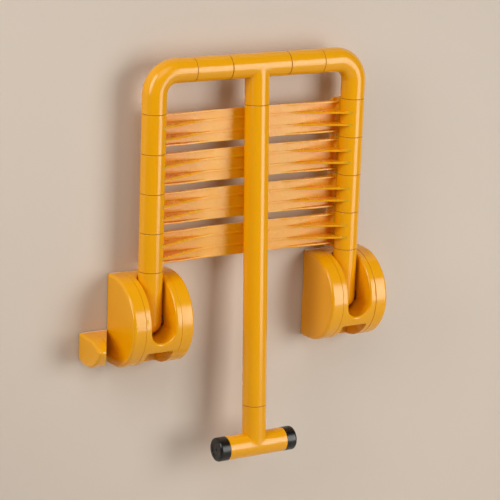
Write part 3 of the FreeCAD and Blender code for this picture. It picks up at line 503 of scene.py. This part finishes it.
plate, plate_end = slat_plate()
whole_plate = np.concatenate([(plate * (-1, 1, 1))[:, :0:-1], plate], axis=1)
slat_sleeve = tube_wall(TUBE, -SLAT_HALF, SLAT_HALF)
for number in (1, 2, 3, 4):
    lift = KNUCKLE_TOP + (number - 0.5) * PITCH
    ribbed = [(1, grid + (0, -OUT, lift)) for grid in (whole_plate, plate_end, plate_end * (-1, 1, 1))]
    sleeves = [
        carried(slat_sleeve, straight_path((across, -OUT, lift), (0, 0, 1), (1, 0, 0)))
        for across in (-ARM, ARM)
    ]
    made(
        f"slat_{number}.ribbed",
        sleeves + ribbed,
        "seat_frame",
        "nylon_orange",
        yellow_nylon,
        f"seat_slat_{number}",
        second=orange_nylon,
    )

# Elbows. Past the slats each arm carries on in a curved nylon moulding over the bend of the core tube. It
# runs from the top slat's seam up the arm, through a quarter turn, to the first seam of the front bar.
REACH = 357  # height of the front bar's axis
ELBOW_RADIUS = 32
RING_HALF = 0.4  # half of the thickness of a spacer ring
BAR_SEAM = 104  # from the seat's middle
ELBOW_LOW = KNUCKLE_TOP + 4 * PITCH + RING_HALF
ELBOW_RISE = REACH - ELBOW_RADIUS - ELBOW_LOW
ELBOW_QUARTER = ELBOW_RADIUS * np.pi / 2
ELBOW_RUN = ARM - ELBOW_RADIUS - (BAR_SEAM + RING_HALF)


def elbow_path(distance):
    """Up the right arm to the bend, a quarter turn towards the middle, then level. Past the bend's start by d
    the centre is (ARM + radius*(cos t - 1), radius*sin t) with t = d/radius, and past its end it runs
    straight."""
    turn = np.clip((distance - ELBOW_RISE) / ELBOW_RADIUS, 0, np.pi / 2)
    past = np.clip(distance - ELBOW_RISE - ELBOW_QUARTER, 0, None)
    x = ARM + ELBOW_RADIUS * (np.cos(turn) - 1) - past
    z = np.minimum(ELBOW_LOW + distance, ELBOW_LOW + ELBOW_RISE) + ELBOW_RADIUS * np.sin(turn)
    zero = 0 * x
    side = np.stack([np.cos(turn), zero, np.sin(turn)], axis=1)
    return np.stack([x, zero - OUT, z], axis=1), side, np.stack([zero, zero + 1, zero], axis=1)


elbow_stops = ELBOW_RISE + ELBOW_RADIUS * np.linspace(0, np.pi / 2, 25)
elbow_wall = tube_wall(TUBE, 0, ELBOW_RISE + ELBOW_QUARTER + ELBOW_RUN, between=elbow_stops)
for side, mirror in (("left", -1), ("right", 1)):
    bent = carried(elbow_wall, elbow_path) * (mirror, 1, 1)
    made(f"{side}_elbow.sleeve", [bent], "seat_frame", "nylon_yellow", yellow_nylon, f"{side}_elbow_sleeve")

# Bar sleeves. A short straight tube of the same nylon fills the front bar on each side, between the elbow and
# the leg's tee.
TEE_HALF = 47.7  # from the seat's middle to the seam beside the tee
for side, mirror in (("left", -1), ("right", 1)):
    along_bar = straight_path((0, -OUT, REACH), (mirror, 0, 0), (0, 1, 0))
    sleeve = carried(tube_wall(TUBE, TEE_HALF + RING_HALF, BAR_SEAM - RING_HALF), along_bar)
    made(f"{side}_bar.sleeve", [sleeve], "seat_frame", "nylon_yellow", yellow_nylon, f"{side}_bar_sleeve")

# Spacer rings of the seat. Thin brown plastic rings lie half a millimetre deep between the mouldings, five up
# each arm and four along the front bar, and read as the dark seams.
ring_wall = tube_wall(TUBE - 0.5, -RING_HALF, RING_HALF, rounding=0.1)
arm_rings = [
    carried(ring_wall, straight_path((across, -OUT, KNUCKLE_TOP + step * PITCH), (0, 0, 1), (1, 0, 0)))
    for step in range(5)
    for across in (-ARM, ARM)
]
bar_rings = [
    carried(ring_wall, straight_path((across, -OUT, REACH), (1, 0, 0), (0, 1, 0)))
    for across in (-BAR_SEAM, -TEE_HALF, TEE_HALF, BAR_SEAM)
]
made("seat_seams.rings", arm_rings + bar_rings, "seat_frame", "seam_brown", spacer_brown, "seat_spacer_rings")

# The leg's tee on the front bar. One nylon moulding with two equal round arms and a branch turns on the bar
# and holds the leg's core. The leg leans 2.983 degrees out, so it has directions of its own: down its length,
# and away from it towards the wall.
LEAN = math.radians(2.983)
DOWN = np.array([0, -math.sin(LEAN), -math.cos(LEAN)])
WALLWARD = np.array([0, math.cos(LEAN), -math.sin(LEAN)])
PIVOT = np.array([0, -OUT, REACH])
TOP_SEAM = 55.8  # down the leg from the bar's axis


def tee_shell(middle, toward, half_bar, bar_bore, branch, socket_floor):
    """A tee of equal round arms. The bar's skin runs from the larger of 0 and the height towards the branch
    out to its rim, and the branch's skin from the height |x| to its rim, so that both meet on the crossing
    |x| = height, at points of the same angle. Bores and ends close the solid."""
    wallward = WALLWARD if toward is DOWN else -WALLWARD
    angle = np.linspace(0, 2 * np.pi, 97)[None, :]
    share = np.linspace(0, 1, 5)[:, None]
    rounding = 0.5
    rim = arc(TUBE - rounding, 0, rounding, 0, 90)[1:]

    def rows(crossing, length, inner):
        """Distances along an arm and radii, row by row: from the crossing to the rim, round the rim to the
        end, and through the (distance, radius) pairs inside."""
        skin = crossing + share * (length - rounding - crossing)
        edge = length - rounding + rim[:, 1:] + 0 * angle
        bore = [distance + 0 * angle for distance, _ in inner]
        radii = np.concatenate([np.full(len(share), TUBE), rim[:, 0], [radius for _, radius in inner]])
        return np.vstack([skin, edge, *bore]), radii[:, None]

    def placed(x, back, height):
        sideways = x[..., None] * np.array([1, 0, 0])
        return middle + sideways + back[..., None] * wallward + height[..., None] * toward

    x, reach = rows(np.maximum(0, TUBE * np.sin(angle)), half_bar, [(half_bar, bar_bore), (0, bar_bore)])
    bar = [placed(mirror * x, reach * np.cos(angle), reach * np.sin(angle)) for mirror in (-1, 1)]
    socket = [(branch, BORE), (socket_floor, BORE), (socket_floor, 0)]
    height, reach = rows(TUBE * np.abs(np.cos(angle)), branch, socket)
    return [*bar, placed(reach * np.cos(angle), reach * np.sin(angle), height)]


top_tee = tee_shell(
    PIVOT, DOWN, half_bar=47.0, bar_bore=14.0, branch=TOP_SEAM - RING_HALF, socket_floor=16.35
)
made("top_tee.moulding", top_tee, "leg", "nylon_yellow", yellow_nylon, "leg_top_tee")

# The tee's two bushes. Unpigmented nylon, turned from bar and pushed into the tee, which runs on the core
# tube through them. It is off-white, a little waxy, and matt where the tool cut it.
natural_nylon = moulded_nylon("natural turned nylon", "#E6E1D2", "#DCD5C2", roughness=0.45, peel=1e-5)
finished("leg_hinge_bushes", "leg", "nylon_natural", natural_nylon, 0.15)

# The leg's core and sleeve. A straight stainless tube, cut to length, runs from the tee to the foot, inside
# one long moulding of the yellow nylon.
FOOT_SEAM = 496.9  # down the leg from the bar's axis


def down_leg(distance=0.0):
    """A straight path down the leg from the given distance below the front bar's axis."""
    return straight_path(PIVOT + distance * DOWN, DOWN, (1, 0, 0))


finished("leg_core_tube", "leg", "steel", steel, 0)
leg_wall = tube_wall(TUBE, TOP_SEAM + RING_HALF, FOOT_SEAM - RING_HALF, between=np.linspace(60, 492, 25))
made("leg_tube.sleeve", [carried(leg_wall, down_leg())], "leg", "nylon_yellow", yellow_nylon, "leg_sleeve")

# The foot. The same kind of nylon tee, upside down and pushed on to the core's lower end, rests on the floor
# when the seat is down.
LEG_LENGTH = 557.3  # from the bar's axis to the foot's
FOOT = PIVOT + LEG_LENGTH * DOWN
FOOT_BRANCH = LEG_LENGTH - FOOT_SEAM - RING_HALF
foot_tee = tee_shell(FOOT, -DOWN, half_bar=TEE_HALF, bar_bore=13.5, branch=FOOT_BRANCH, socket_floor=15.0)
made("foot_tee.moulding", foot_tee, "leg", "nylon_yellow", yellow_nylon, "foot_tee")

# Foot caps. Moulded plugs of black rubber with a rounded rim close the foot's two ends. Each has a spigot
# inside the foot, and a shallow dish with a dot in its middle.


def black_rubber(name, colour, dusty):
    """Moulded black rubber: a soft satin surface, a 0.5 mm grain, and greyer patches 10 mm across from
    dust."""
    material = empty_material(name)
    place = add(material, "ShaderNodeTexCoord").outputs["Object"]
    dust = add(material, "ShaderNodeTexNoise", {"Vector": place, "Scale": 1 / 0.01, "Detail": 3.0})
    tint = add(
        material,
        "ShaderNodeMix",
        {"Factor": dust.outputs["Fac"], "A": linear(colour), "B": linear(dusty)},
        data_type="RGBA",
    )
    dull = add(
        material,
        "ShaderNodeMapRange",
        {
            "Value": dust.outputs["Fac"],
            "From Min": 0.3,
            "From Max": 0.7,
            "To Min": 0.24,
            "To Max": 0.34,
        },
    )
    grain = add(material, "ShaderNodeTexNoise", {"Vector": place, "Scale": 1 / 0.0005, "Detail": 2.0})
    relief = add(
        material, "ShaderNodeBump", {"Height": grain.outputs["Fac"], "Strength": 0.5, "Distance": 0.00003}
    )
    shader = add(
        material,
        "ShaderNodeBsdfPrincipled",
        {
            "Base Color": tint.outputs["Result"],
            "Roughness": dull.outputs["Result"],
            "Normal": relief.outputs["Normal"],
            "IOR": 1.52,
        },
    )
    add(material, "ShaderNodeOutputMaterial", {"Surface": shader.outputs["BSDF"]})
    return material


rubber = black_rubber("satin black moulded rubber", "#08080A", "#0F0F11")
SPIGOT, SPIGOT_LENGTH, SPIGOT_EDGE = 13.5, 20, 0.5  # radius, length inside the foot, bevel
PLUG, PLUG_LENGTH, PLUG_ROUND, PLUG_EDGE = 17.7, 17.0, 4.0, 0.4  # the same of the part that shows
DISH, DISH_FLOOR = 10.0, PLUG_LENGTH - 0.8
DOT = 1.5
spigot = [(0, -SPIGOT_LENGTH), (SPIGOT - SPIGOT_EDGE, -SPIGOT_LENGTH)]
spigot += [(SPIGOT, SPIGOT_EDGE - SPIGOT_LENGTH), (SPIGOT, 0)]
dish = [(DISH + 0.5, PLUG_LENGTH), (DISH + 0.15, PLUG_LENGTH - 0.1), (DISH, PLUG_LENGTH - 0.4)]
dish += [(DISH - 0.2, DISH_FLOOR + 0.05), (DISH - 0.6, DISH_FLOOR)]
dot = [(DOT + 0.2, DISH_FLOOR), (DOT, DISH_FLOOR + 0.15), (DOT - 0.05, PLUG_LENGTH - 0.2)]
dot += [(DOT - 0.3, PLUG_LENGTH), (0, PLUG_LENGTH)]
plug = np.vstack(
    [
        spigot,
        arc(PLUG - PLUG_EDGE, PLUG_EDGE, PLUG_EDGE, -90, 0),
        arc(PLUG - PLUG_ROUND, PLUG_LENGTH - PLUG_ROUND, PLUG_ROUND, 0, 90, 8),
        dish,
        dot,
    ]
)
for side, mirror in (("left", -1), ("right", 1)):
    end_of_foot = straight_path(FOOT + (mirror * TEE_HALF, 0, 0), (mirror, 0, 0), (0, 1, 0))
    made(f"{side}_foot.plug", [carried(plug, end_of_foot)], "leg", "rubber_black", rubber, f"{side}_foot_cap")

# The leg's spacer rings. Two more of the seat's thin brown plastic rings lie at the ends of the long sleeve,
# and read as dark seams.
leg_rings = [carried(ring_wall, down_leg(seam)) for seam in (TOP_SEAM, FOOT_SEAM)]
made("leg_seams.rings", leg_rings, "leg", "seam_brown", spacer_brown, "leg_spacer_rings")

# Fixing screws. A stainless screw with a low round head holds each tee on the leg's core. It goes in on the
# side towards the wall, out of sight.
finished("leg_fixing_screws", "leg", "steel", steel, 0)

# The room. A pale matt wall stands behind the seat, and a pale matt floor lies where the foot rests when the
# seat is down. The wall isn't seen from behind, and lets through the light that the seat's own back needs.
WALL_GAP = 0.002
FLOOR = -0.575  # just below the foot caps when the seat is down
SIDEWAYS, CEILING = 9, 8


def flat_sheet(name, corners, material):
    """One flat face with its corners in metres."""
    mesh = bpy.data.meshes.new(name)
    mesh.from_pydata(corners, [], [(0, 1, 2, 3)])
    mesh.materials.append(material)
    sheet = bpy.data.objects.new(name, mesh)
    bpy.context.scene.collection.objects.link(sheet)


plaster = empty_material("pale matt plaster")
from_behind = add(plaster, "ShaderNodeNewGeometry").outputs["Backfacing"]
ray = add(plaster, "ShaderNodeLightPath").outputs
near = add(plaster, "ShaderNodeMath", {0: ray["Ray Length"], 1: 3 * WALL_GAP}, operation="LESS_THAN")
lit = {0: ray["Is Shadow Ray"], 1: near.outputs[0]}
lamplight = add(plaster, "ShaderNodeMath", lit, operation="MAXIMUM")
let_through = add(plaster, "ShaderNodeMath", {0: from_behind, 1: lamplight.outputs[0]}, operation="MAXIMUM")
paint = add(plaster, "ShaderNodeBsdfPrincipled", {"Base Color": linear("#D6CAC1"), "Roughness": 0.9})
clear = add(plaster, "ShaderNodeBsdfTransparent")
faces = {0: let_through.outputs[0], 1: paint.outputs["BSDF"], 2: clear.outputs["BSDF"]}
wall_face = add(plaster, "ShaderNodeMixShader", faces)
add(plaster, "ShaderNodeOutputMaterial", {"Surface": wall_face.outputs["Shader"]})
wall_corners = [(-SIDEWAYS, FLOOR), (SIDEWAYS, FLOOR), (SIDEWAYS, CEILING), (-SIDEWAYS, CEILING)]
flat_sheet("wall", [(x, WALL_GAP, z) for x, z in wall_corners], plaster)

screed = empty_material("pale matt floor")
floor_face = add(screed, "ShaderNodeBsdfPrincipled", {"Base Color": linear("#DEDAD4"), "Roughness": 0.9})
add(screed, "ShaderNodeOutputMaterial", {"Surface": floor_face.outputs["BSDF"]})
floor_corners = [(-SIDEWAYS, -SIDEWAYS), (SIDEWAYS, -SIDEWAYS), (SIDEWAYS, SIDEWAYS), (-SIDEWAYS, SIDEWAYS)]
flat_sheet("floor", [(x, y, FLOOR) for x, y in floor_corners], screed)

# The camera stands to the left of the seat and looks down at it a little, through a long lens. Its angles and
# its place come from the photograph's own lines.
yaw, pitch, roll = (math.radians(angle) for angle in (30.72, 15.04, 2.05))
ahead = np.array([math.sin(yaw) * math.cos(pitch), math.cos(yaw) * math.cos(pitch), -math.sin(pitch)])
level = np.array([math.cos(yaw), -math.sin(yaw), 0.0])
upright = np.cross(level, ahead)


def standing(place, rightward, upward, backward):
    """A place and three directions as one matrix."""
    matrix = np.eye(4)
    matrix[:3, 0], matrix[:3, 1], matrix[:3, 2], matrix[:3, 3] = rightward, upward, backward, place
    return Matrix(matrix.tolist())


camera = bpy.data.objects.new("camera", bpy.data.cameras.new("camera"))
camera.data.lens = 154.05
camera.data.sensor_width = 36
camera.data.clip_end = 60
camera.matrix_world = standing(
    (-1.52213, -2.59682, 0.88715),
    math.cos(roll) * level + math.sin(roll) * upright,
    -math.sin(roll) * level + math.cos(roll) * upright,
    -ahead,
)
bpy.context.scene.collection.objects.link(camera)
bpy.context.scene.camera = camera

# Soft studio light. A tall softbox at the right front draws the streaks on the tubes and the sheen on the
# slats. A smaller one stands at the left, above the seat, a large one hangs in front, and one lights the back
# for views from behind. A spread below 180 keeps a lamp's light together, like a grid on a softbox.


def softbox(name, place, target, width, height, power, colour, spread=180):
    """A flat lamp whose face looks along the line from its place to its target, and shines within the
    spread, in degrees. The power is in watts."""
    lamp = bpy.data.lights.new(name, "AREA")
    lamp.shape, lamp.size, lamp.size_y, lamp.energy, lamp.color = "RECTANGLE", width, height, power, colour
    lamp.spread = math.radians(spread)
    back = np.array(place, float) - np.array(target, float)
    back /= np.linalg.norm(back)
    across = np.cross((0, 0, 1), back)
    across /= np.linalg.norm(across)
    holder = bpy.data.objects.new(name, lamp)
    holder.matrix_world = standing(place, across, np.cross(back, across), back)
    bpy.context.scene.collection.objects.link(holder)


MIDDLE = (0, 0, 0.1)
WARM, WARMER, SOFT_WHITE, WHITE = (1, 0.99, 0.92), (1, 0.98, 0.89), (1, 0.98, 0.95), (1, 1, 1)
softbox("right_front", (1.15, -1.75, 0.3), (-0.03, -0.04, 0.05), 1.15, 1.65, 13.8, WARM, spread=120)
softbox("left_side", (-1.2, -0.42, 0.75), (0, -0.1, 0.05), 0.5, 1.2, 3.1, WARMER, spread=90)
softbox("front_above", (-0.65, -1.4, 1.95), MIDDLE, 1.4, 1.4, 10, SOFT_WHITE)
softbox("behind", (0.5, 1.6, 0.9), MIDDLE, 1.2, 1.2, 4, WHITE)
world = bpy.data.worlds.new("studio")
bpy.context.scene.world = world
world.use_nodes = True
world.node_tree.nodes["Background"].inputs["Color"].default_value = linear("#DACBC0")
world.node_tree.nodes["Background"].inputs["Strength"].default_value = 0.14
bpy.context.scene.view_settings.view_transform = "Standard"
